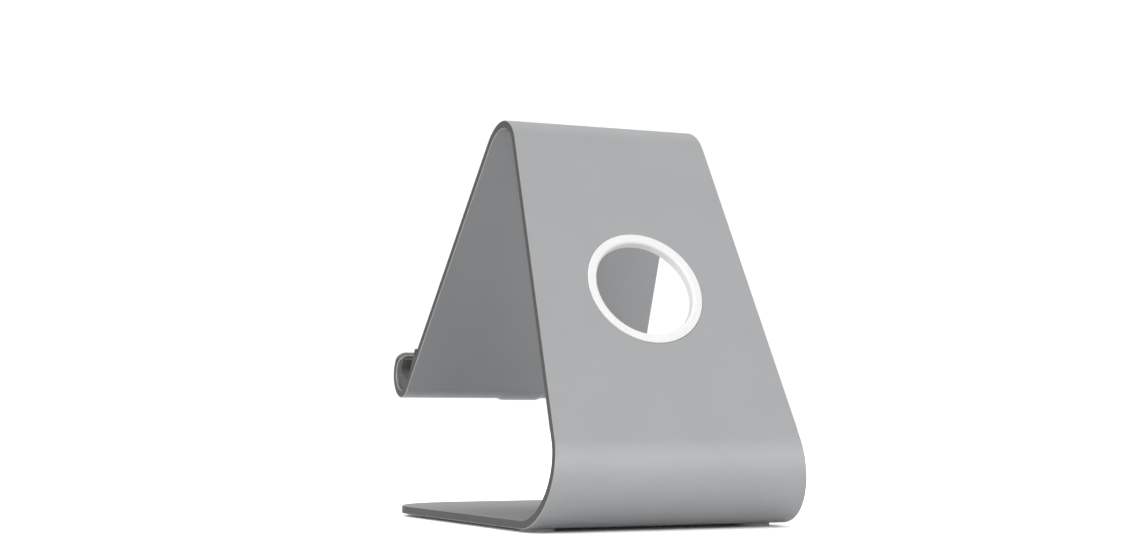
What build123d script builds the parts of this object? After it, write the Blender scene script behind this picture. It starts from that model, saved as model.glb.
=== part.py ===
from build123d import *
from math import cos, radians, sin
import os

# Tablet stand: one strip of aluminium plate bent into a base, a leaning back panel, a front panel and a hook,
# with a ring in its cable hole, soft pads where the tablet rests, and four feet.
# Millimetres. +Z up, -Y towards the tablet, origin on the desk under the middle of the stand.

# Plate
PLATE = 3.6                  # thickness all along the strip
BASE_LENGTH = 174.2          # front edge to the start of the rear bend
BASE_CORNER = 40.0           # front corners of the base
REAR_BEND = 25.7             # outer radius
BACK_TILT = 26.5             # back panel, degrees from upright
BACK_LENGTH = 145.0          # straight part
TOP_BEND = 17.2              # outer radius
FRONT_TILT = 32.3            # front panel, degrees from upright
FRONT_LENGTH = 126.2         # straight part
HOOK_BEND = 7.4              # inner radius
LIP_HEIGHT = 6.0             # straight part above the hook bend
LIP_CORNER = 4.5

# Half widths along the strip
BASE_HALF = 61.75
BACK_FOOT_HALF = 57.0        # lower end of the back panel
BACK_TOP_HALF = 46.8         # upper end of the back panel
FRONT_TOP_HALF = 47.2        # upper end of the front panel
HOOK_HALF = 61.1

# Cable relief pressed into the middle of the hook, and the scoop in the lip above it
RELIEF_FLAT = 17.0
RELIEF_RAMP = 3.0
RELIEF_DEPTH = 1.0
SCOOP_TOP = 18.0             # half widths of the scoop, at the top of the lip and at its floor
SCOOP_FLOOR = 9.0
SCOOP_LEFT = 0.8             # height of lip left under the scoop
SCOOP_ROUND = 8.0

# Cable hole and ring
HOLE_UP = 70.7               # hole centre, along the back panel from its lower end
HOLE_RADIUS = 24.8
SEAT_RADIUS = 26.85
SEAT_DEPTH = 1.2
RING_RADIUS = 26.75
RING_BORE = 22.5
RING_NECK = 24.7
RING_PROUD = 0.3
RING_BEAD = 25.1
RING_TAIL = 0.7              # length beyond the inner face of the plate
RING_MOUTH = 1.2             # radius of the bore's outer edge
RING_LEAD = 0.6              # radius of the bore's inner edge
RING_RIM = 0.4               # radius of the flange's edge

# Feet
FOOT_RADIUS = 7.25
FOOT_STAND = 1.5             # desk to the underside of the base
FILM = 0.15                  # adhesive under feet and pads
FILM_INSET = 0.6
FOOT_ROUND = 0.5
REAR_FOOT = (51.0, 7.2)      # half spacing, distance ahead of the rear bend
FRONT_FOOT = (41.0, 20.7)    # half spacing, distance behind the front edge

# Pads
PAD = 1.8                    # stand-off from the plate, film included
CRADLE_INNER_END = 18.5      # distance of each cradle pad's ends from the middle
CRADLE_OUTER_END = 59.6
CRADLE_FLOOR = 1.0           # floor of the cradle below the centre of the hook bend
CRADLE_BACK = 18.0           # height of the cradle pad up the front panel
CRADLE_ROUND = 1.2
REST_PAD_LENGTH = 72.0
REST_PAD_HEIGHT = 16.0
REST_PAD_DOWN = 7.0          # top of the rest pad, below the top bend

BEND_SECTIONS = 12           # stations that shape each tapering bend

front_y = -(BASE_LENGTH + REAR_BEND) / 2
bend_y = front_y + BASE_LENGTH

# Directions in the YZ plane: normals point out of the outer face, runs follow the strip from base to hook
back_angle = radians(BACK_TILT)
front_angle = radians(FRONT_TILT)
back_normal = Vector(0, cos(back_angle), sin(back_angle))
back_run = Vector(0, -sin(back_angle), cos(back_angle))
front_normal = Vector(0, -cos(front_angle), sin(front_angle))
front_run = Vector(0, -sin(front_angle), -cos(front_angle))

# Points on the outer face of the strip, and the centres of its bends
rear_centre = Vector(0, bend_y, FOOT_STAND + REAR_BEND)
back_foot = rear_centre + back_normal * REAR_BEND
back_top = back_foot + back_run * BACK_LENGTH
top_centre = back_top - back_normal * TOP_BEND
front_top = top_centre + front_normal * TOP_BEND
front_foot = front_top + front_run * FRONT_LENGTH
hook_centre = front_foot + front_normal * HOOK_BEND

back_plane = Plane(origin=back_foot, x_dir=(1, 0, 0), z_dir=-back_normal)
front_plane = Plane(origin=front_top, x_dir=(1, 0, 0), z_dir=-front_normal)
lip_plane = Plane(origin=hook_centre + front_normal * HOOK_BEND, x_dir=(1, 0, 0), z_dir=front_normal)
hole_plane = Plane(origin=back_foot + back_run * HOLE_UP, x_dir=(1, 0, 0), z_dir=back_normal)


def hook_plane(x):
    """Across the strip at x: local X points out of the front panel, local Y down the hook."""
    return Plane(origin=hook_centre + Vector(x, 0, 0), x_dir=front_normal, z_dir=(1, 0, 0))


def half_disc(radius, drop=0.0):
    """The lower half of a disc about the hook's centre, moved down by drop."""
    lower_half = Pos(0, radius) * Rectangle(3 * radius, 2 * radius)
    return Pos(0, drop) * (Circle(radius) & lower_half)


def panel(plane, near_half, far_half, length):
    """A flat stretch of the strip whose outer face lies on plane."""
    outline = Polygon((-near_half, 0), (near_half, 0), (far_half, length), (-far_half, length), align=None)
    return extrude(plane * outline, amount=PLATE)


def eased(near_half, far_half, near_slope, far_slope, length, t):
    """Half width at the fraction t of a bend, leaving and meeting its neighbours at their own slopes."""
    start = (2 * t**3 - 3 * t**2 + 1) * near_half + (t**3 - 2 * t**2 + t) * near_slope * length
    end = (3 * t**2 - 2 * t**3) * far_half + (t**3 - t**2) * far_slope * length
    return start + end


def bend(centre, radius, first, last, halves, slopes):
    """A round stretch of the strip between two directions, in degrees from +Y, lofted to its changing width."""
    length = radius * radians(last - first)
    sections = []
    for i in range(BEND_SECTIONS + 1):
        t = i / BEND_SECTIONS
        angle = radians(first + t * (last - first))
        out = Vector(0, cos(angle), sin(angle))
        along = Vector(0, -sin(angle), cos(angle))
        plane = Plane(origin=centre + out * (radius - PLATE / 2), x_dir=(1, 0, 0), z_dir=along)
        half = eased(*halves, *slopes, length, t)
        sections.append(plane * Rectangle(2 * half, PLATE))
    return loft(sections)


def base():
    """The flat plate that lies on the feet, with two large round front corners."""
    outline = Rectangle(2 * BASE_HALF, BASE_LENGTH, align=(Align.CENTER, Align.MIN))
    outline = fillet(outline.vertices().group_by(Axis.Y)[0], BASE_CORNER)
    return extrude(Pos(0, front_y, FOOT_STAND) * outline, amount=PLATE)


def lip():
    """The turned-up front of the hook, with round corners and a finger scoop in the middle."""
    outline = Polygon((-HOOK_HALF, 0), (HOOK_HALF, 0), (HOOK_HALF, LIP_HEIGHT), (SCOOP_TOP, LIP_HEIGHT),
                      (SCOOP_FLOOR, SCOOP_LEFT), (-SCOOP_FLOOR, SCOOP_LEFT), (-SCOOP_TOP, LIP_HEIGHT),
                      (-HOOK_HALF, LIP_HEIGHT), align=None)
    ends = outline.vertices().filter_by(lambda v: v.Y > 0 and abs(v.X) > SCOOP_TOP + 1)
    outline = fillet(ends, LIP_CORNER)
    scoop = outline.vertices().filter_by(lambda v: v.Y > 0 and abs(v.X) < SCOOP_TOP + 1)
    outline = fillet(scoop, SCOOP_ROUND)
    return extrude(lip_plane * outline, amount=PLATE)


def relief_form(radius):
    """What the press tool fills: a half disc that drops in the middle of the hook and ramps back at both ends."""
    flat = RELIEF_FLAT / 2
    edge = flat + RELIEF_RAMP
    stations = [(-edge, 0), (-flat, RELIEF_DEPTH), (flat, RELIEF_DEPTH), (edge, 0)]
    return loft([hook_plane(x) * half_disc(radius, drop) for x, drop in stations], ruled=True)


def hook():
    """The tight bend at the bottom of the front panel, with the cable relief pressed into it."""
    band = half_disc(HOOK_BEND + PLATE) - half_disc(HOOK_BEND)
    bent = extrude(hook_plane(-HOOK_HALF) * band, amount=2 * HOOK_HALF)
    return bent + relief_form(HOOK_BEND + PLATE) - relief_form(HOOK_BEND)


def cable_hole():
    """The round hole in the back panel, with a shallow seat for the ring's flange on the outer face."""
    through = Cylinder(HOLE_RADIUS, 3 * PLATE)
    seat = Pos(0, 0, -SEAT_DEPTH) * Cylinder(SEAT_RADIUS, 2 * PLATE, align=(Align.CENTER, Align.CENTER, Align.MIN))
    return hole_plane * (through + seat)


def stand_body():
    """The whole bent strip."""
    back_slope = (BACK_TOP_HALF - BACK_FOOT_HALF) / BACK_LENGTH
    front_slope = (HOOK_HALF - FRONT_TOP_HALF) / FRONT_LENGTH
    rear = bend(rear_centre, REAR_BEND, -90, BACK_TILT, (BASE_HALF, BACK_FOOT_HALF), (0, back_slope))
    top = bend(top_centre, TOP_BEND, BACK_TILT, 180 - FRONT_TILT,
               (BACK_TOP_HALF, FRONT_TOP_HALF), (back_slope, front_slope))
    back = panel(back_plane, BACK_FOOT_HALF, BACK_TOP_HALF, BACK_LENGTH) - cable_hole()
    front = panel(front_plane, FRONT_TOP_HALF, HOOK_HALF, FRONT_LENGTH)
    return base() + rear + back + top + front + hook() + lip()


def cable_grommet():
    """The ring that lines the cable hole: flange in the seat, neck through the plate, bead behind it."""
    tail = -(PLATE + RING_TAIL)
    bead_start = -(PLATE + 0.05)
    outline = Polygon((RING_BORE, RING_PROUD), (RING_RADIUS, RING_PROUD), (RING_RADIUS, -SEAT_DEPTH),
                      (RING_NECK, -SEAT_DEPTH), (RING_NECK, bead_start), (RING_BEAD, bead_start),
                      (RING_NECK, tail), (RING_BORE, tail), align=None)
    ring = revolve(Plane.XZ * outline, Axis.Z)
    for radius, place, rounding in ((RING_BORE, 0, RING_LEAD), (RING_BORE, -1, RING_MOUTH),
                                    (RING_RADIUS, -1, RING_RIM)):
        rims = ring.edges().filter_by(GeomType.CIRCLE).filter_by(lambda e: abs(e.radius - radius) < 0.01)
        ring = fillet(rims.sort_by(Axis.Z)[place], rounding)
    return hole_plane * ring


def foot(x, y):
    """A round pad with a soft lower edge."""
    height = FOOT_STAND - FILM
    pad = Cylinder(FOOT_RADIUS, height, align=(Align.CENTER, Align.CENTER, Align.MIN))
    return Pos(x, y) * fillet(pad.edges().group_by(Axis.Z)[0], FOOT_ROUND)


def foot_film(x, y):
    """The adhesive disc between a foot and the base."""
    disc = Cylinder(FOOT_RADIUS - FILM_INSET, FILM, align=(Align.CENTER, Align.CENTER, Align.MIN))
    return Pos(x, y, FOOT_STAND - FILM) * disc


def cradle_profile():
    """Section of a cradle pad in the hook's own plane: a thick floor between a tall back and a short front."""
    reach = HOOK_BEND - FILM
    inner = HOOK_BEND - PAD
    front_top_y = -(LIP_HEIGHT - 0.8)
    width = 2 * reach
    tall = Pos(0, -CRADLE_BACK / 2) * Rectangle(width, CRADLE_BACK)
    above_lip = Pos(width / 2, -CRADLE_BACK) * Rectangle(
        width + 2 * inner, 2 * (CRADLE_BACK + front_top_y))
    channel = Pos(0, CRADLE_FLOOR) * Rectangle(2 * inner, 2 * CRADLE_BACK, align=(Align.CENTER, Align.MAX))
    channel = fillet(channel.vertices().group_by(Axis.Y)[-1], CRADLE_ROUND)
    return tall + half_disc(reach) - above_lip - channel


def cradle_pad(side):
    """One soft pad that fills the hook from the cable relief to the end, side -1 or 1."""
    start = CRADLE_INNER_END if side > 0 else -CRADLE_OUTER_END
    return extrude(hook_plane(start) * cradle_profile(), amount=CRADLE_OUTER_END - CRADLE_INNER_END)


def strip_on_front(centre_x, down, length, height, lift, thickness):
    """A round-cornered strip lying on the front panel: down is the distance below the top bend to its top."""
    outline = RectangleRounded(length, height, min(height, length) / 4)
    face = front_plane.offset(-lift) * Pos(centre_x, down + height / 2) * outline
    return extrude(face, amount=-thickness)


def cradle_film(side):
    """The adhesive between a cradle pad and the front panel."""
    length = CRADLE_OUTER_END - CRADLE_INNER_END - 2 * FILM_INSET
    height = CRADLE_BACK - 2 * FILM_INSET
    middle = side * (CRADLE_OUTER_END + CRADLE_INNER_END) / 2
    return strip_on_front(middle, FRONT_LENGTH - CRADLE_BACK + FILM_INSET, length, height, 0, FILM)


def rest_pad():
    """The soft strip near the top bend that the tablet's back leans on."""
    return strip_on_front(0, REST_PAD_DOWN, REST_PAD_LENGTH, REST_PAD_HEIGHT, FILM, PAD - FILM)


def rest_film():
    """The adhesive under the rest pad."""
    length = REST_PAD_LENGTH - 2 * FILM_INSET
    height = REST_PAD_HEIGHT - 2 * FILM_INSET
    return strip_on_front(0, REST_PAD_DOWN + FILM_INSET, length, height, 0, FILM)


def make_parts():
    """Every sub-part by node name."""
    parts = {"stand_body": stand_body(), "cable_grommet": cable_grommet()}
    parts["rest_pad"] = rest_pad()
    parts["rest_film"] = rest_film()
    rows = {"front": (FRONT_FOOT[0], front_y + FRONT_FOOT[1]), "rear": (REAR_FOOT[0], bend_y - REAR_FOOT[1])}
    for side, sign in (("left", -1), ("right", 1)):
        parts[f"cradle_pad_{side}"] = cradle_pad(sign)
        parts[f"cradle_film_{side}"] = cradle_film(sign)
        for row, (half, y) in rows.items():
            parts[f"foot_{row}_{side}"] = foot(sign * half, y)
            parts[f"foot_film_{row}_{side}"] = foot_film(sign * half, y)
    return parts


os.makedirs("parts", exist_ok=True)
for name, solid in make_parts().items():
    export_step(solid, f"parts/{name}.step")
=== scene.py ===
from math import cos, pi, radians, sin, tan

import bmesh
import bpy
from mathutils import Matrix, Vector


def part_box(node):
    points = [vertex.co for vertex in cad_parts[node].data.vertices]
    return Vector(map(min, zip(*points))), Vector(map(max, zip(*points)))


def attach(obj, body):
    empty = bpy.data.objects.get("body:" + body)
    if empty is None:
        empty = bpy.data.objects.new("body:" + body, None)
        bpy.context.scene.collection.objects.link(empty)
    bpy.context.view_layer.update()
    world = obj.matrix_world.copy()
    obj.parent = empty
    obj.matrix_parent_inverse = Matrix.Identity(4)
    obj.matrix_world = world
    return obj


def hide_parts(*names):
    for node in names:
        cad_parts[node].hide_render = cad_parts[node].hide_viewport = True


# Looks of the tablet stand: a bent aluminium strip, the ring in its cable hole, its pads and its feet.
# Metres throughout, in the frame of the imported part. The strip is laid out flat first, as a blank, and each
# of its points is then bent to its place, as the real one is.

MM = 0.001

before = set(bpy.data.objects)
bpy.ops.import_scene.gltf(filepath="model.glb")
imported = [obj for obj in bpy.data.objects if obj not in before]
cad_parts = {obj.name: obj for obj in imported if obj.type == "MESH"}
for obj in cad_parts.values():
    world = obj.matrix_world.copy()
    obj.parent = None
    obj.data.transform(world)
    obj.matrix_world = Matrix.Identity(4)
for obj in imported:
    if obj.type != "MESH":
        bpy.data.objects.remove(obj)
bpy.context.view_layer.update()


# ---------------------------------------------------------------------------------------------- dimensions

# Plate: thickness, bends and straight lengths, as in the CAD model
PLATE = 3.6 * MM
BASE_CORNER = 40.0 * MM
REAR_BEND = 25.7 * MM        # outer radius
BACK_TILT = radians(26.5)    # from upright
BACK_LENGTH = 145.0 * MM
TOP_BEND = 17.2 * MM         # outer radius
FRONT_TILT = radians(32.3)   # from upright
FRONT_LENGTH = 126.2 * MM
HOOK_BEND = 7.4 * MM         # inner radius
LIP_HEIGHT = 6.0 * MM
LIP_CORNER = 4.5 * MM
EDGE_ROUND = 0.35 * MM       # broken edges, all around

# Half widths along the strip
BACK_FOOT_HALF = 57.0 * MM
BACK_TOP_HALF = 46.8 * MM
FRONT_TOP_HALF = 47.2 * MM
HOOK_HALF = 61.1 * MM

# Cable relief pressed into the middle of the hook, and the scoop in the lip above it
RELIEF_FLAT = 17.0 * MM
RELIEF_RAMP = 3.0 * MM
RELIEF_DEPTH = 1.0 * MM
SCOOP_TOP = 18.0 * MM        # half widths
SCOOP_FLOOR = 9.0 * MM
SCOOP_ROUND = 8.0 * MM
SCOOP_LEFT = 0.8 * MM        # height of lip left under the scoop

# Cable hole and its ring
HOLE_UP = 70.7 * MM          # hole centre, along the back panel from its lower end
HOLE_RADIUS = 24.8 * MM
HOLE_ROUND = 0.25 * MM       # broken edges of the hole
SEAT_RADIUS = 26.85 * MM
SEAT_DEPTH = 1.2 * MM
RING_RADIUS = 26.75 * MM
RING_BORE = 22.5 * MM
RING_NECK = 24.7 * MM
RING_PROUD = 0.3 * MM
RING_BEAD = 25.1 * MM
RING_BEAD_GAP = 0.05 * MM    # between the plate's inner face and the bead
RING_TAIL = 0.7 * MM         # length beyond the inner face
RING_MOUTH = 1.2 * MM        # rounding of the bore's outer end
RING_LEAD = 0.6 * MM         # and of its inner end
RING_RIM = 0.4 * MM          # rounding around the proud face
RING_TAIL_ROUND = 0.15 * MM
RING_BEAD_ROUND = 0.1 * MM

# Feet
FOOT_RADIUS = 7.25 * MM
FOOT_DISH = 0.12 * MM        # how far a foot's hollow middle stays off the desk
FOOT_LAND = 1.3 * MM         # width of the flat ring that touches the desk
FOOT_DISH_EDGE = 1.6 * MM    # where the hollow has its full depth, in from the edge
FOOT_ROUND = 0.5 * MM
FOOT_TOP_ROUND = 0.12 * MM

# Pads
FILM = 0.15 * MM             # adhesive under them
PAD = 1.8 * MM               # stand-off from the plate, film included
CRADLE_FLOOR = 1.0 * MM      # floor of the cradle below the centre of the hook bend
CRADLE_BACK = 18.0 * MM      # height up the front panel
CRADLE_BELOW_LIP = 0.8 * MM
CRADLE_ROUND = 1.2 * MM      # inner corners of its channel
CRADLE_TIP = 0.5 * MM        # radius of the section's ends
CRADLE_SOFT = 0.3 * MM       # rounding of the cut ends
REST_SOFT = 0.5 * MM         # rounding of the rest pad's edges

# How finely curves are cut up
ROUND_STEPS = 8              # a rounded corner of any outline
EDGE_STEPS = 4               # a broken edge
CORNER_STEPS = 32            # a front corner of the base
REAR_STEPS = 56
TOP_STEPS = 48
HOOK_STEPS = 32
HOLE_STEPS = 128
RING_STEPS = 160
FOOT_STEPS = 96
CRADLE_STEPS = 32

# Columns of vertices across the bends, from the middle outwards
COLUMN_GAP = 8 * MM
COLUMNS_EACH_SIDE = 7
COLUMN_MARGIN = 1 * MM       # kept clear at both ends of a row
RELIEF_GAP = 2.4 * MM        # on the flat of the cable relief
RELIEF_COLUMNS = 3
RAMP_STEPS = 6               # on each of its ramps
FIRST_PAST_RELIEF = 2        # the first evenly spaced column that lies beyond it

SAME_PLACE = 1e-7            # closer than this is one place
FLAT_FACES_FIRST = 100       # weight that lets the large faces set the shading

plate_low, plate_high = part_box("stand_body")
base_half = plate_high.x
front_y = plate_low.y
base_z = plate_low.z
bend_y = plate_high.y - REAR_BEND

# Directions in the YZ plane: normals out of the outer face, runs along the strip from base to hook
back_normal = Vector((0, cos(BACK_TILT), sin(BACK_TILT)))
back_run = Vector((0, -sin(BACK_TILT), cos(BACK_TILT)))
front_normal = Vector((0, -cos(FRONT_TILT), sin(FRONT_TILT)))
front_run = Vector((0, -sin(FRONT_TILT), -cos(FRONT_TILT)))
across = Vector((1, 0, 0))

rear_centre = Vector((0, bend_y, base_z + REAR_BEND))
back_foot = rear_centre + back_normal * REAR_BEND
top_centre = back_foot + back_run * BACK_LENGTH - back_normal * TOP_BEND
front_top = top_centre + front_normal * TOP_BEND
hook_centre = front_top + front_run * FRONT_LENGTH + front_normal * HOOK_BEND
hole_centre = back_foot + back_run * HOLE_UP

# Where each stretch of the strip starts, measured along the blank from the front edge of the base
rear_start = bend_y - front_y
back_start = rear_start + REAR_BEND * (pi / 2 + BACK_TILT)
top_start = back_start + BACK_LENGTH
front_start = top_start + TOP_BEND * (pi - BACK_TILT - FRONT_TILT)
hook_start = front_start + FRONT_LENGTH
lip_start = hook_start + HOOK_BEND * pi
lip_end = lip_start + LIP_HEIGHT


# ---------------------------------------------------------------------------------------------- outlines

def arc(centre, radius, first, last, steps):
    """Points on a circle from one angle to another, in degrees, both ends included."""
    points = []
    for i in range(steps + 1):
        angle = radians(first + (last - first) * i / steps)
        points.append(Vector(centre) + radius * Vector((cos(angle), sin(angle))))
    return points


def rounded(corners):
    """A closed outline from (x, y, radius) corners, each corner with a radius turned into an arc."""
    outline = []
    for i, (x, y, radius) in enumerate(corners):
        here = Vector((x, y))
        if radius == 0:
            outline.append(here)
            continue
        before = (Vector(corners[i - 1][:2]) - here).normalized()
        after = (Vector(corners[(i + 1) % len(corners)][:2]) - here).normalized()
        opening = before.angle(after)
        middle = here + (before + after).normalized() * radius / sin(opening / 2)
        start = here + before * radius / tan(opening / 2) - middle
        turn = start.angle_signed(here + after * radius / tan(opening / 2) - middle)
        for k in range(ROUND_STEPS + 1):
            outline.append(middle + Matrix.Rotation(-turn * k / ROUND_STEPS, 2) @ start)
    return outline


def eased(near_half, far_half, near_slope, far_slope, length, t):
    """Half width at the fraction t of a bend, leaving and meeting its neighbours at their own slopes."""
    start = (2 * t**3 - 3 * t**2 + 1) * near_half + (t**3 - 2 * t**2 + t) * near_slope * length
    end = (3 * t**2 - 2 * t**3) * far_half + (t**3 - t**2) * far_slope * length
    return start + end


def rows_of_bend(start, end, halves, slopes, steps):
    """Outline points (half width, distance along the blank) of a bend's cross rows."""
    rows = []
    for i in range(steps + 1):
        t = i / steps
        rows.append(Vector((eased(*halves, *slopes, end - start, t), start + t * (end - start))))
    return rows


def right_side():
    """The right-hand outline of the blank, from the front edge of the base to the middle of the lip."""
    back_slope = (BACK_TOP_HALF - BACK_FOOT_HALF) / BACK_LENGTH
    front_slope = (HOOK_HALF - FRONT_TOP_HALF) / FRONT_LENGTH
    side = arc((base_half - BASE_CORNER, BASE_CORNER), BASE_CORNER, -90, 0, CORNER_STEPS)
    side += rows_of_bend(rear_start, back_start, (base_half, BACK_FOOT_HALF), (0, back_slope), REAR_STEPS)
    side += rows_of_bend(top_start, front_start, (BACK_TOP_HALF, FRONT_TOP_HALF),
                         (back_slope, front_slope), TOP_STEPS)
    side += rows_of_bend(hook_start, lip_start, (HOOK_HALF, HOOK_HALF), (0, 0), HOOK_STEPS)
    floor = lip_start + SCOOP_LEFT
    lip = rounded([(HOOK_HALF, lip_start, 0), (HOOK_HALF, lip_end, LIP_CORNER),
                   (SCOOP_TOP, lip_end, SCOOP_ROUND), (SCOOP_FLOOR, floor, SCOOP_ROUND), (0, floor, 0)])
    return side + lip[1:-1]


# ---------------------------------------------------------------------------------------------- the plate

def relief(x):
    """How far the middle of the hook is pressed down at x."""
    t = (abs(x) - RELIEF_FLAT / 2) / RELIEF_RAMP
    t = min(max(t, 0), 1)
    return RELIEF_DEPTH * (1 - t * t * (3 - 2 * t))


def bent(x, along, depth):
    """Where a point of the blank lies on the bent strip: depth is measured in from the outer face."""
    aside = across * x
    if along < rear_start:
        return aside + Vector((0, front_y + along, base_z + depth))
    if along < back_start:
        angle = (along - rear_start) / REAR_BEND - pi / 2
        return aside + rear_centre + Vector((0, cos(angle), sin(angle))) * (REAR_BEND - depth)
    if along < top_start:
        return aside + back_foot + back_run * (along - back_start) - back_normal * depth
    if along < front_start:
        angle = (along - top_start) / TOP_BEND + BACK_TILT
        return aside + top_centre + Vector((0, cos(angle), sin(angle))) * (TOP_BEND - depth)
    if along < hook_start - SAME_PLACE:
        return aside + front_top + front_run * (along - front_start) - front_normal * depth
    if along < lip_start + SAME_PLACE:
        angle = (along - hook_start) / HOOK_BEND
        spoke = front_run * sin(angle) - front_normal * cos(angle)
        return aside + hook_centre + spoke * (HOOK_BEND + depth) + front_run * relief(x)
    return aside + hook_centre + front_normal * (HOOK_BEND + depth) - front_run * (along - lip_start)


def outward(outline):
    """Unit normals of a closed outline that runs anticlockwise."""
    normals = []
    for i, point in enumerate(outline):
        step = (point - outline[i - 1]).normalized()
        step += (outline[(i + 1) % len(outline)] - point).normalized()
        normals.append(Vector((step.y, -step.x)).normalized())
    return normals


def edge_levels(radius):
    """(inset, depth) of each line of a rounded edge, from the face down to the side."""
    angles = [pi / 2 * k / EDGE_STEPS for k in range(EDGE_STEPS + 1)]
    return [(radius * (1 - sin(a)), radius * (1 - cos(a))) for a in angles]


def ring_of_faces(bm, lines):
    """Quads between closed lines of vertices that all have the same count."""
    for near, far in zip(lines, lines[1:]):
        for i in range(len(near)):
            bm.faces.new((near[i - 1], near[i], far[i], far[i - 1]))


def edge_lines(bm, outline, thickness, radius):
    """The side of a plate with rounded edges: lines of vertices from face to face, joined by quads."""
    normals = outward(outline)
    near_edge = edge_levels(radius)
    far_edge = [(inset, thickness - depth) for inset, depth in reversed(near_edge)]
    lines = []
    for inset, depth in near_edge + far_edge:
        lines.append([bm.verts.new((*(p - n * inset), depth)) for p, n in zip(outline, normals)])
    ring_of_faces(bm, lines)
    return lines


def fill(bm, loops):
    """Fills flat closed loops of vertices with triangles, the inner loops being holes."""
    edges = []
    for loop in loops:
        for i in range(len(loop)):
            pair = (loop[i - 1], loop[i])
            edges.append(bm.edges.get(pair) or bm.edges.new(pair))
    bmesh.ops.triangle_fill(bm, use_beauty=True, edges=edges)


def columns(half, marks):
    """The marks that fit across a row of this half width."""
    return [m for m in marks if abs(m) < half - COLUMN_MARGIN]


def plain_marks():
    """Evenly spaced columns, for the two large bends."""
    return [k * COLUMN_GAP for k in range(-COLUMNS_EACH_SIDE, COLUMNS_EACH_SIDE + 1)]


def relief_marks():
    """Columns for the hook, closer together where the cable relief is pressed into it."""
    ramp = [RELIEF_FLAT / 2 + RELIEF_RAMP * k / RAMP_STEPS for k in range(RAMP_STEPS + 1)]
    flat = [k * RELIEF_GAP for k in range(-RELIEF_COLUMNS, RELIEF_COLUMNS + 1)]
    beyond = range(FIRST_PAST_RELIEF, COLUMNS_EACH_SIDE + 1)
    plain = [side * k * COLUMN_GAP for side in (-1, 1) for k in beyond]
    return sorted([-m for m in ramp] + ramp + flat + plain)


def cut_hole(bm, hole_at):
    """The cable hole with the ring's seat: circles of vertices from the outer face to the inner one."""
    seat_edge = [(SEAT_RADIUS + inset, depth) for inset, depth in edge_levels(HOLE_ROUND)]
    far_edge = [(HOLE_RADIUS + inset, PLATE - depth) for inset, depth in reversed(edge_levels(HOLE_ROUND))]
    circles = []
    for radius, depth in [*seat_edge, (SEAT_RADIUS, SEAT_DEPTH), (HOLE_RADIUS, SEAT_DEPTH), *far_edge]:
        around = arc((0, hole_at), radius, 0, 360, HOLE_STEPS)[1:]
        circles.append([bm.verts.new((*p, depth)) for p in around])
    ring_of_faces(bm, circles)
    return circles


def plate_face(bm, right, line, hole, depth):
    """One broad face of the blank: rows of quads on the bends, and filled outlines on the flats."""
    plain = plain_marks()
    stretches = [(0, rear_start, None), (rear_start, back_start, plain), (back_start, top_start, None),
                 (top_start, front_start, plain), (front_start, hook_start, None),
                 (hook_start, lip_start, relief_marks()), (lip_start, lip_end, None)]
    rows = {}

    def row(i, marks):
        """The vertices across the strip from outline point i on the right to its twin on the left."""
        if i not in rows:
            half, along = right[i]
            inner = [bm.verts.new((m, along, depth)) for m in reversed(columns(half, marks))]
            rows[i] = [line[i], *inner, line[-1 - i]]
        return rows[i]

    def within(start, end):
        """Outline points from one place along the blank to another."""
        return [i for i, p in enumerate(right) if start - SAME_PLACE <= p.y <= end + SAME_PLACE]

    for start, end, marks in stretches:
        if not marks:
            continue
        picked = within(start, end)
        for i, j in zip(picked, picked[1:]):
            near, far = row(i, marks), row(j, marks)
            for k in range(len(near) - 1):
                bm.faces.new((near[k], near[k + 1], far[k + 1], far[k]))
    for start, end, marks in stretches:
        if marks:
            continue
        picked = within(start, end)
        loop = [line[i] for i in picked]
        if picked[-1] in rows:
            loop += rows[picked[-1]][1:-1]
        loop += [line[-1 - i] for i in reversed(picked)]
        if picked[0] in rows:
            loop += reversed(rows[picked[0]][1:-1])
        fill(bm, [loop, hole] if start == back_start else [loop])


def plate_mesh():
    """The whole strip with its rounded edges and its hole, built flat and then bent.

    Two values are kept on its vertices for the metal: rim on the broken edges, for a painted highlight, and
    cut on the sides, for painted shade.
    """
    bm = bmesh.new()
    rim = bm.verts.layers.float.new("rim")
    cut = bm.verts.layers.float.new("cut")
    right = right_side()
    outline = right + [Vector((-p.x, p.y)) for p in reversed(right)]
    lines = edge_lines(bm, outline, PLATE, EDGE_ROUND)

    bore = cut_hole(bm, back_start + HOLE_UP)
    plate_face(bm, right, lines[0], bore[0], 0)
    plate_face(bm, right, lines[-1], bore[-1], PLATE)

    side_levels = (EDGE_STEPS, EDGE_STEPS + 1)
    for level, line in enumerate(lines[1:-1], 1):
        for vertex in line:
            vertex[cut if level in side_levels else rim] = 1.0
    for vertex in bm.verts:
        vertex.co = bent(*vertex.co)
    return bm


# ---------------------------------------------------------------------------------------------- other shapes

def turned_mesh(profile, segments):
    """A closed (radius, height) profile turned about Z: a ring, or a disc if it reaches the axis."""
    bm = bmesh.new()
    lines = []
    for radius, height in profile:
        circle = arc((0, 0), max(radius, 0), 0, 360, segments)[1:]
        lines.append([bm.verts.new((*p, height)) for p in circle])
    ring_of_faces(bm, lines + lines[:1])
    return bm


def prism_mesh(outline, length, soft):
    """An anticlockwise outline in XY stood up along Z to a length, with its end edges softened."""
    bm = bmesh.new()
    lines = edge_lines(bm, outline, length, soft)
    fill(bm, [lines[0]])
    fill(bm, [lines[-1]])
    return bm


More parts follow.
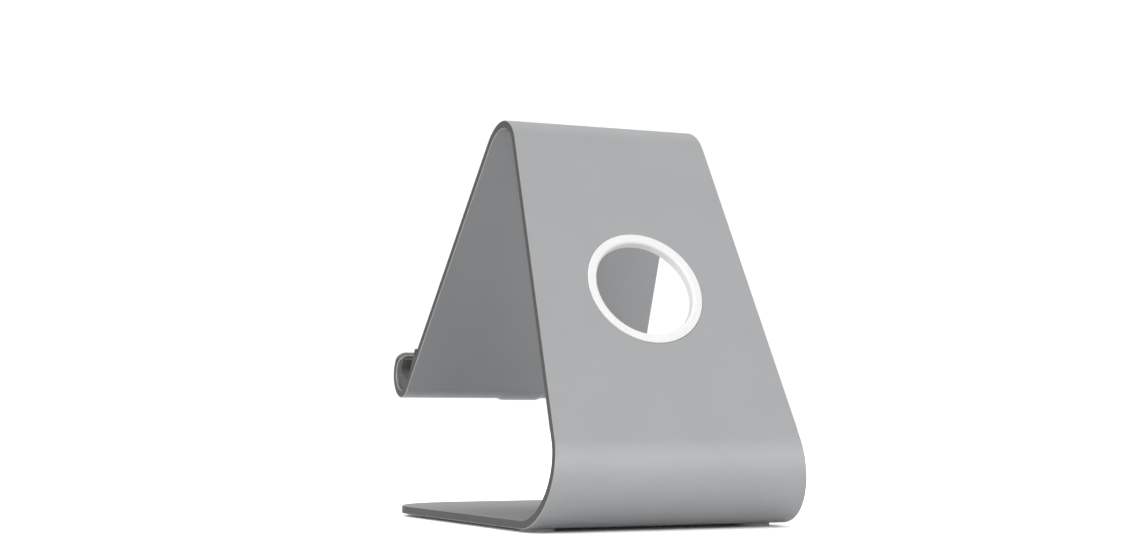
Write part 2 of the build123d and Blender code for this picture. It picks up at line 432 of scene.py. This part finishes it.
def piece(name, bm, material, node, place=None):
    """Turns a mesh into a shown piece that stands for a CAD node and moves with the stand."""
    bmesh.ops.remove_doubles(bm, verts=bm.verts, dist=SAME_PLACE)
    bmesh.ops.recalc_face_normals(bm, faces=bm.faces)
    if place:
        bm.transform(place)
    mesh = bpy.data.meshes.new(name)
    bm.to_mesh(mesh)
    bm.free()
    mesh.shade_smooth()
    mesh.materials.append(material)
    made = bpy.data.objects.new(name, mesh)
    bpy.context.scene.collection.objects.link(made)
    weighted = made.modifiers.new("even_shading", "WEIGHTED_NORMAL")
    weighted.weight = FLAT_FACES_FIRST
    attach(made, "root")
    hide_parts(node)


def axes(origin, x_axis, y_axis, z_axis):
    """The matrix that carries local X, Y and Z to these directions at an origin."""
    turn = Matrix((x_axis, y_axis, z_axis)).transposed().to_4x4()
    return Matrix.Translation(origin) @ turn


# ---------------------------------------------------------------------------------------------- materials

# Sockets of a Mix node that blends colours
MIX_AMOUNT, MIX_FIRST, MIX_SECOND, MIX_RESULT = 0, 6, 7, 2

NOISE_LOW = 0.3              # noise mostly lies in this span
NOISE_SPAN = 0.4

# Linear greys, and how far each surface strays from them
METAL = 0.608                # the anodised faces
METAL_CLOUD = 0.015
RIM_PAINTED_HIGHLIGHT = 1.12             # painted highlight: broken edges against the faces, at most
SIDE_PAINTED_SHADE = (0.42, 0.48)   # painted shade: cut sides against the faces
RING_GREYS = (0.90, 0.93)
PAD_GREY = 0.11
FOOT_GREY = 0.46
DUST = (0.9, 1.12)           # rubber and silicone against their greys
FILM_GREYS = (0.46, 0.58)
METAL_WARM = -0.012
SIDE_WARM = 0.01
RING_WARM = 0.003
FILM_WARM = 0.03

# Spans of roughness
METAL_MATT = (0.49, 0.59)
RIM_MATT = (0.30, 0.40)
RING_MATT = (0.36, 0.46)
FILM_MATT = (0.3, 0.45)
RUBBER_SPREAD = 0.06         # either way

# Heights of the fine relief
METAL_GRAIN = 0.004 * MM
RING_GRAIN = 0.006 * MM
RUBBER_GRAIN = 0.02 * MM
FILM_GRAIN = 0.01 * MM

RING_GLOW = 1.5 * MM         # how far light spreads inside the white plastic
RING_GLOW_TINT = (1.0, 0.9, 0.8)


class Look:
    """A node material under construction: a Principled shader and the textures that drive it."""

    def __init__(self, name, **values):
        self.material = bpy.data.materials.new(name)
        self.material.use_nodes = True
        self.nodes = self.material.node_tree.nodes
        self.shader = self.nodes["Principled BSDF"]
        for socket, value in values.items():
            self.shader.inputs[socket.replace("_", " ")].default_value = value
        self.place = self.nodes.new("ShaderNodeTexCoord").outputs["Object"]

    def link(self, source, target):
        self.material.node_tree.links.new(source, target)

    def noise(self, scale, detail=2.0, seed=0.0):
        """Noise whose grains are about 1/scale metres across."""
        mapping = self.nodes.new("ShaderNodeMapping")
        mapping.inputs["Location"].default_value = (seed, seed, seed)
        self.link(self.place, mapping.inputs["Vector"])
        texture = self.nodes.new("ShaderNodeTexNoise")
        texture.inputs["Scale"].default_value = scale
        texture.inputs["Detail"].default_value = detail
        self.link(mapping.outputs["Vector"], texture.inputs["Vector"])
        return texture.outputs["Fac"]

    def ramp(self, source, stops):
        """Two colours or values blended by a noise."""
        ramp = self.nodes.new("ShaderNodeValToRGB")
        for k, (element, value) in enumerate(zip(ramp.color_ramp.elements, stops)):
            element.position = NOISE_LOW + NOISE_SPAN * k
            element.color = value if isinstance(value, tuple) else (value, value, value, 1)
        self.link(source, ramp.inputs["Fac"])
        return ramp.outputs["Color"]

    def mix(self, amount, first, second):
        """Blends two colours by a linked amount."""
        mix = self.nodes.new("ShaderNodeMix")
        mix.data_type = "RGBA"
        self.link(amount, mix.inputs[MIX_AMOUNT])
        self.link(first, mix.inputs[MIX_FIRST])
        self.link(second, mix.inputs[MIX_SECOND])
        return mix.outputs[MIX_RESULT]

    def attribute(self, name):
        """A value stored on the mesh."""
        node = self.nodes.new("ShaderNodeAttribute")
        node.attribute_name = name
        return node.outputs["Fac"]

    def bump(self, source, height, strength, before=None):
        """Relief of a height in metres, on top of the relief before it."""
        node = self.nodes.new("ShaderNodeBump")
        node.inputs["Distance"].default_value = height
        node.inputs["Strength"].default_value = strength
        self.link(source, node.inputs["Height"])
        if before:
            self.link(before, node.inputs["Normal"])
        self.link(node.outputs["Normal"], self.shader.inputs["Normal"])
        return node.outputs["Normal"]

    def colour(self, source):
        self.link(source, self.shader.inputs["Base Color"])

    def roughness(self, source):
        self.link(source, self.shader.inputs["Roughness"])


def grey(level, warm=0.0):
    """A linear grey, a little redder than blue if warm is above 0."""
    return (level * (1 + warm), level, level * (1 - warm), 1)


def greys(levels, warm=0.0):
    """One linear grey for each level."""
    return [grey(level, warm) for level in levels]


def anodised_aluminium():
    """Bead-blasted, clear anodised: fine dimples, faint cloudiness, painted highlight on broken edges,
    painted shade on cut sides.
    """
    look = Look("anodised_aluminium", Metallic=1.0)
    cloudy = greys((METAL * (1 - METAL_CLOUD), METAL * (1 + METAL_CLOUD)), METAL_WARM)
    flats = look.ramp(look.noise(45, detail=4.0, seed=3.0), cloudy)
    # Broken edges painted brighter than the faces, as a painted highlight; their lower roughness below is
    # real polish.
    painted_rim_highlight = look.ramp(look.noise(700), greys((METAL, METAL * RIM_PAINTED_HIGHLIGHT)))
    # Cut sides painted darker than the faces: painted shade.
    painted_side_shade_greys = greys([METAL * shade for shade in SIDE_PAINTED_SHADE], SIDE_WARM)
    sides = look.ramp(look.noise(500, detail=3.0, seed=6.0), painted_side_shade_greys)
    edges = look.mix(look.attribute("rim"), flats, painted_rim_highlight)
    look.colour(look.mix(look.attribute("cut"), edges, sides))
    matt = look.ramp(look.noise(2500, seed=1.0), METAL_MATT)
    polished = look.ramp(look.noise(300, seed=2.0), RIM_MATT)
    look.roughness(look.mix(look.attribute("rim"), matt, polished))
    blast = look.bump(look.noise(9000, detail=3.0), METAL_GRAIN, strength=0.5)
    look.bump(look.noise(1100, seed=5.0), METAL_GRAIN, strength=0.4, before=blast)
    return look.material


def white_plastic():
    """Satin white moulding with the faint spark-eroded grain of its tool."""
    look = Look("white_ring", Specular_IOR_Level=0.5, Subsurface_Weight=0.2, Subsurface_Scale=RING_GLOW,
                Subsurface_Radius=RING_GLOW_TINT)
    look.colour(look.ramp(look.noise(60, detail=3.0), greys(RING_GREYS, RING_WARM)))
    look.roughness(look.ramp(look.noise(1500, seed=1.0), RING_MATT))
    look.bump(look.noise(3500, detail=3.0, seed=2.0), RING_GRAIN, strength=0.5)
    return look.material


def soft_rubber(name, level, warm, grain, roughness):
    """Matt rubber or silicone: a fine eggshell grain with dust caught in it."""
    look = Look(name, Specular_IOR_Level=0.4, Sheen_Weight=0.06, Sheen_Roughness=0.5)
    dusty = greys([level * dust for dust in DUST], warm)
    look.colour(look.ramp(look.noise(900, detail=4.0, seed=4.0), dusty))
    spread = (roughness - RUBBER_SPREAD, roughness + RUBBER_SPREAD)
    look.roughness(look.ramp(look.noise(grain / 3), spread))
    look.bump(look.noise(grain, detail=3.0, seed=1.0), RUBBER_GRAIN, strength=0.6)
    return look.material


def adhesive_film():
    """Translucent double-sided film with small trapped bubbles."""
    look = Look("adhesive_film", Specular_IOR_Level=0.5, Coat_Weight=0.3, Coat_Roughness=0.2)
    bubbles = look.noise(1400)
    look.colour(look.ramp(bubbles, greys(FILM_GREYS, FILM_WARM)))
    look.roughness(look.ramp(bubbles, FILM_MATT))
    look.bump(bubbles, FILM_GRAIN, strength=0.4)
    return look.material


aluminium = anodised_aluminium()
ring_white = white_plastic()
pad_silicone = soft_rubber("pad_silicone", PAD_GREY, warm=0.05, grain=4000, roughness=0.60)
foot_rubber = soft_rubber("foot_rubber", FOOT_GREY, warm=0.01, grain=3000, roughness=0.55)
film = adhesive_film()


# ---------------------------------------------------------------------------------------------- pieces

def ring_profile():
    """Section of the ring, (radius, height above the plate's outer face)."""
    tail = -(PLATE + RING_TAIL)
    bead = -(PLATE + RING_BEAD_GAP)
    return rounded([(RING_BORE, tail, RING_LEAD), (RING_NECK, tail, RING_TAIL_ROUND),
                    (RING_BEAD, bead, RING_BEAD_ROUND), (RING_NECK, bead, 0),
                    (RING_NECK, -SEAT_DEPTH, 0), (RING_RADIUS, -SEAT_DEPTH, 0),
                    (RING_RADIUS, RING_PROUD, RING_RIM), (RING_BORE, RING_PROUD, RING_MOUTH)])


def foot_profile(height):
    """Section of a foot, from the desk up: dished underneath, with a soft lower edge."""
    return rounded([(0, FOOT_DISH, 0), (FOOT_RADIUS - FOOT_DISH_EDGE, FOOT_DISH, 0),
                    (FOOT_RADIUS - FOOT_LAND, 0, 0), (FOOT_RADIUS, 0, FOOT_ROUND),
                    (FOOT_RADIUS, height, FOOT_TOP_ROUND), (0, height, 0)])


def cradle_outline():
    """Section of a cradle pad about the hook's centre: X out of the front panel, Y down the hook."""
    reach = HOOK_BEND - FILM
    inner = HOOK_BEND - PAD
    short_top = -(LIP_HEIGHT - CRADLE_BELOW_LIP)
    channel = rounded([(-reach, 0, 0), (-reach, -CRADLE_BACK, CRADLE_TIP),
                       (-inner, -CRADLE_BACK, 2 * CRADLE_TIP), (-inner, CRADLE_FLOOR, CRADLE_ROUND),
                       (inner, CRADLE_FLOOR, CRADLE_ROUND), (inner, short_top, CRADLE_TIP),
                       (reach, short_top, CRADLE_TIP), (reach, 0, 0)])
    return channel + arc((0, 0), reach, 0, 180, CRADLE_STEPS)[1:-1]


def rest_outline(low, high, thick):
    """Outline of the rest pad, from the box around it as it leans on the front panel."""
    wide = (high.x - low.x) / 2
    tall = (high.z - low.z - thick * front_normal.z) / cos(FRONT_TILT) / 2
    corners = ((-wide, -tall), (wide, -tall), (wide, tall), (-wide, tall))
    return rounded([(x, y, tall / 2) for x, y in corners])


piece("stand_plate", plate_mesh(), aluminium, "stand_body")

hole_axes = axes(hole_centre, across, -back_run, back_normal)
piece("hole_ring", turned_mesh(ring_profile(), RING_STEPS), ring_white, "cable_grommet",
      hole_axes)

for side in ("left", "right"):
    low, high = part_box(f"cradle_pad_{side}")
    at = hook_centre + across * low.x
    pad = prism_mesh(cradle_outline(), high.x - low.x, CRADLE_SOFT)
    piece(f"cradle_liner_{side}", pad, pad_silicone, f"cradle_pad_{side}",
          axes(at, front_normal, front_run, across))
    for row in ("front", "rear"):
        low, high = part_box(f"foot_{row}_{side}")
        middle = (low + high) / 2
        foot = turned_mesh(foot_profile(high.z - low.z), FOOT_STEPS)
        piece(f"rubber_foot_{row}_{side}", foot, foot_rubber, f"foot_{row}_{side}",
              Matrix.Translation((middle.x, middle.y, low.z)))

low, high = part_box("rest_pad")
rest_thick = PAD - FILM
rest_middle = (low + high) / 2 - front_normal * rest_thick / 2
strip = prism_mesh(rest_outline(low, high, rest_thick), rest_thick, REST_SOFT)
piece("rest_strip", strip, pad_silicone, "rest_pad",
      axes(rest_middle, across, -front_run, front_normal))

for name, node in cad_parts.items():
    if "film" in name:
        for slot in node.material_slots:
            slot.material = film


# ---------------------------------------------------------------------------------------------- studio

FLOOR_HALF = 6.0
FLOOR_GREYS = (0.77, 0.79)
FLOOR_LIFT = 1.05            # brings the floor up to the white of the backdrop, for the camera only
BACKDROP = 1.05              # what the camera sees beyond the floor

# The room that lights the stand. Each turn gives the parts along +Y between which front gives way to back,
# and the rise gives the parts along +Z between which the walls give way to the ceiling.
FRONT_WALL = 0.19
BACK_WALL = 1.14
WALL_TURN = (-0.75, 0.7)
CEILING_FRONT = 0.86
CEILING_BACK = 0.64
CEILING_TURN = (-0.35, 0.45)
CEILING_RISE = (0.10, 0.76)

SUN_DIRECTION = (-0.78, -0.50, -0.38)
SUN_WIDTH = radians(76)
SUN_STRENGTH = 1.3

CAMERA_PLACE = (0.36803, 0.78312, 0.04615)
CAMERA_YAW = radians(24.862)
CAMERA_PITCH = radians(4.428)
CAMERA_LENS = 59.66          # millimetres, as is the sensor's width
CAMERA_SENSOR = 36.0
CAMERA_FAR = 30.0


def studio_floor():
    """A plain pale floor."""
    bm = bmesh.new()
    bmesh.ops.create_grid(bm, x_segments=2, y_segments=2, size=FLOOR_HALF)
    mesh = bpy.data.meshes.new("studio_floor")
    bm.to_mesh(mesh)
    bm.free()
    look = Look("studio_floor", Roughness=0.9)
    look.colour(look.ramp(look.noise(3), greys(FLOOR_GREYS)))
    lift = look.nodes.new("ShaderNodeMath")
    lift.operation = "MULTIPLY"
    lift.inputs[1].default_value = FLOOR_LIFT
    look.link(look.nodes.new("ShaderNodeLightPath").outputs["Is Camera Ray"], lift.inputs[0])
    lifted = look.nodes.new("ShaderNodeBsdfDiffuse")
    look.link(lift.outputs["Value"], lifted.inputs["Color"])
    both = look.nodes.new("ShaderNodeAddShader")
    look.link(look.shader.outputs["BSDF"], both.inputs[0])
    look.link(lifted.outputs["BSDF"], both.inputs[1])
    look.link(both.outputs["Shader"], look.nodes["Material Output"].inputs["Surface"])
    mesh.materials.append(look.material)
    floor = bpy.data.objects.new("studio_floor", mesh)
    bpy.context.scene.collection.objects.link(floor)


def soft_sun(direction, angle, strength):
    """A wide, soft light from far away, which the metal doesn't mirror."""
    data = bpy.data.lights.new("soft_sun", "SUN")
    data.angle = angle
    data.energy = strength
    lamp = bpy.data.objects.new("soft_sun", data)
    lamp.rotation_euler = Vector(direction).to_track_quat("-Z", "Y").to_euler()
    lamp.visible_glossy = False
    bpy.context.scene.collection.objects.link(lamp)


def studio_world():
    """A white backdrop that lights as a studio does.

    It has a bright ceiling, a bright wall behind the stand and a dim one in front.
    """
    world = bpy.data.worlds.new("studio")
    world.use_nodes = True
    nodes = world.node_tree.nodes
    links = world.node_tree.links

    def shade(source, stops):
        """Two greys blended by a direction's part along an axis, from two (part, grey) stops."""
        spread = nodes.new("ShaderNodeMapRange")
        spread.inputs["From Min"].default_value = -1.0
        links.new(source, spread.inputs["Value"])
        ramp = nodes.new("ShaderNodeValToRGB")
        ramp.color_ramp.interpolation = "EASE"
        for element, (part, level) in zip(ramp.color_ramp.elements, stops):
            element.position = (part + 1) / 2
            element.color = grey(level)
        links.new(spread.outputs["Result"], ramp.inputs["Fac"])
        return ramp.outputs["Color"]

    direction = nodes.new("ShaderNodeSeparateXYZ")
    links.new(nodes.new("ShaderNodeTexCoord").outputs["Generated"], direction.inputs["Vector"])
    walls = shade(direction.outputs["Y"], zip(WALL_TURN, (FRONT_WALL, BACK_WALL)))
    height = shade(direction.outputs["Z"], zip(CEILING_RISE, (0.0, 1.0)))
    ceiling = shade(direction.outputs["Y"], zip(CEILING_TURN, (CEILING_FRONT, CEILING_BACK)))
    room = nodes.new("ShaderNodeMix")
    room.data_type = "RGBA"
    links.new(height, room.inputs[MIX_AMOUNT])
    links.new(walls, room.inputs[MIX_FIRST])
    links.new(ceiling, room.inputs[MIX_SECOND])
    seen = nodes.new("ShaderNodeMix")
    seen.data_type = "RGBA"
    links.new(nodes.new("ShaderNodeLightPath").outputs["Is Camera Ray"], seen.inputs[MIX_AMOUNT])
    links.new(room.outputs[MIX_RESULT], seen.inputs[MIX_FIRST])
    seen.inputs[MIX_SECOND].default_value = grey(BACKDROP)
    links.new(seen.outputs[MIX_RESULT], nodes["Background"].inputs["Color"])
    bpy.context.scene.world = world


def camera():
    """The camera behind and a little below the stand's middle, looking slightly up."""
    level = cos(CAMERA_PITCH)
    ahead = Vector((-sin(CAMERA_YAW) * level, -cos(CAMERA_YAW) * level, sin(CAMERA_PITCH)))
    data = bpy.data.cameras.new("camera")
    data.sensor_width = CAMERA_SENSOR
    data.lens = CAMERA_LENS
    data.clip_end = CAMERA_FAR
    made = bpy.data.objects.new("camera", data)
    made.location = CAMERA_PLACE
    made.rotation_euler = ahead.to_track_quat("-Z", "Y").to_euler()
    bpy.context.scene.collection.objects.link(made)
    bpy.context.scene.camera = made


studio_floor()
studio_world()
soft_sun(SUN_DIRECTION, SUN_WIDTH, SUN_STRENGTH)
camera()
bpy.context.scene.view_settings.view_transform = "Standard"
